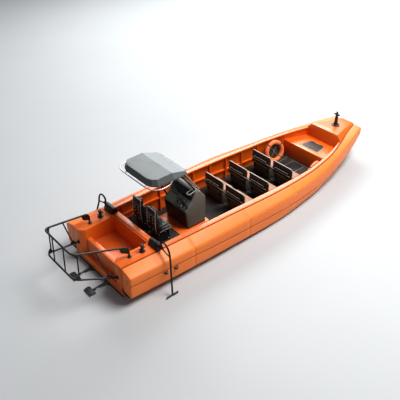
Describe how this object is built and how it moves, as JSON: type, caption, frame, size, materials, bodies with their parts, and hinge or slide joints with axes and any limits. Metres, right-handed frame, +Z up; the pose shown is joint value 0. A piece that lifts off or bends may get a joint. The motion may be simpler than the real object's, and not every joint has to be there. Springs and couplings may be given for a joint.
{
  "type": "rigid inflatable boat",
  "caption": "Open rigid boat with a foam collar, helm console under a hardtop, rows of passenger benches, a crowned bow deck and a tubular stern guard over water jets.",
  "frame": {"origin": "on the centreline at the waterline, below the aft ends of the collars", "axes": "+X forward, +Y to port, +Z up"},
  "size_m": [13.3024, 4.3722, 3.685],
  "materials": {
    "orange_paint": "semi-gloss",
    "orange_collar": "satin",
    "dark_hull": "semi-gloss",
    "black_frame": "satin",
    "deck_grey": "matte",
    "console_grey": "satin",
    "roof_grey": "satin",
    "pale_tube": "brushed",
    "black_pad": "matte",
    "tan_pad": "matte",
    "life_orange": "satin",
    "jet_metal": "cast",
    "engine_iron": "painted",
    "glass": "clear"
  },
  "bodies": {
    "hull": {"hull_bottom": "dark_hull", "stern_module": "orange_paint", "helm_deck": "orange_paint", "helm_mat": "deck_grey", "passenger_deck": "deck_grey", "foredeck_step": "orange_paint", "bow_block": "orange_paint", "bow_post": "black_frame", "canopy_roof": "roof_grey", "roof_rail": "pale_tube", "canopy_struts": "black_frame", "windscreen_frame": "pale_tube", "windscreen_glass": "glass", "console": "console_grey", "throttle_lever": "black_frame", "guard_upper": "black_frame", "guard_lower": "black_frame", "bench_boxes_1": "deck_grey", "bench_backs_1": "black_frame", "bench_boxes_2": "deck_grey", "bench_backs_2": "black_frame", "bench_boxes_3": "deck_grey", "bench_backs_3": "black_frame", "bulwark_port": "orange_paint", "collar_port": "orange_collar", "engine_port": "engine_iron", "helm_seat_frame_port": "black_frame", "helm_seat_pad_port": "black_pad", "bench_pad_1_port": "tan_pad", "bench_pad_2_port": "tan_pad", "bench_pad_3_port": "tan_pad", "life_ring_port": "life_orange", "bollard_port": "black_frame", "arm_block_port": "black_frame", "jet_housing_port": "jet_metal", "bulwark_starboard": "orange_paint", "collar_starboard": "orange_collar", "engine_starboard": "engine_iron", "helm_seat_frame_starboard": "black_frame", "helm_seat_pad_starboard": "black_pad", "bench_pad_1_starboard": "tan_pad", "bench_pad_2_starboard": "tan_pad", "bench_pad_3_starboard": "tan_pad", "life_ring_starboard": "life_orange", "bollard_starboard": "black_frame", "arm_block_starboard": "black_frame", "jet_housing_starboard": "jet_metal"},
    "hatch": {"foredeck_hatch": "deck_grey"},
    "wheel": {"steering_wheel": "black_frame"},
    "nozzle_port": {"jet_nozzle_port": "jet_metal"},
    "nozzle_starboard": {"jet_nozzle_starboard": "jet_metal"},
    "bucket_port": {"reverse_bucket_port": "jet_metal"},
    "bucket_starboard": {"reverse_bucket_starboard": "jet_metal"},
    "arm_port": {"side_arm_port": "black_frame"},
    "arm_starboard": {"side_arm_starboard": "black_frame"}
  },
  "joints": [
    {"name": "hatch_hinge", "type": "hinge", "parent": "hull", "child": "hatch", "pos_m": [10.264, 0, 0.784], "axis": [0, 1, 0], "range_deg": [0, 100]},
    {"name": "nozzle_port_steer", "type": "hinge", "parent": "hull", "child": "nozzle_port", "pos_m": [-0.45, 0.43, -0.15], "axis": [0, 0, 1], "range_deg": [-27, 27]},
    {"name": "nozzle_starboard_steer", "type": "hinge", "parent": "hull", "child": "nozzle_starboard", "pos_m": [-0.45, -0.43, -0.15], "axis": [0, 0, 1], "range_deg": [-27, 27]},
    {"name": "wheel_turn", "type": "hinge", "parent": "hull", "child": "wheel", "pos_m": [3.13, -0.3, 1.395], "axis": [-0.7194, 0, 0.6946], "range_deg": [-270, 270]},
    {"name": "bucket_port_drop", "type": "hinge", "parent": "nozzle_port", "child": "bucket_port", "pos_m": [-0.61, 0.43, -0.15], "axis": [0, -1, 0], "range_deg": [0, 75]},
    {"name": "bucket_starboard_drop", "type": "hinge", "parent": "nozzle_starboard", "child": "bucket_starboard", "pos_m": [-0.61, -0.43, -0.15], "axis": [0, -1, 0], "range_deg": [0, 75]},
    {"name": "arm_port_swing", "type": "hinge", "parent": "hull", "child": "arm_port", "pos_m": [1.33, 1.1, 1.305], "axis": [0, 1, 0], "range_deg": [0, 95]},
    {"name": "arm_starboard_swing", "type": "hinge", "parent": "hull", "child": "arm_starboard", "pos_m": [1.33, -1.1, 1.305], "axis": [0, 1, 0], "range_deg": [0, 95]}
  ],
  "couplings": [
    {"joint": "nozzle_starboard_steer", "follows": "nozzle_port_steer", "ratio": 1},
    {"joint": "wheel_turn", "follows": "nozzle_port_steer", "ratio": -10}
  ]
}
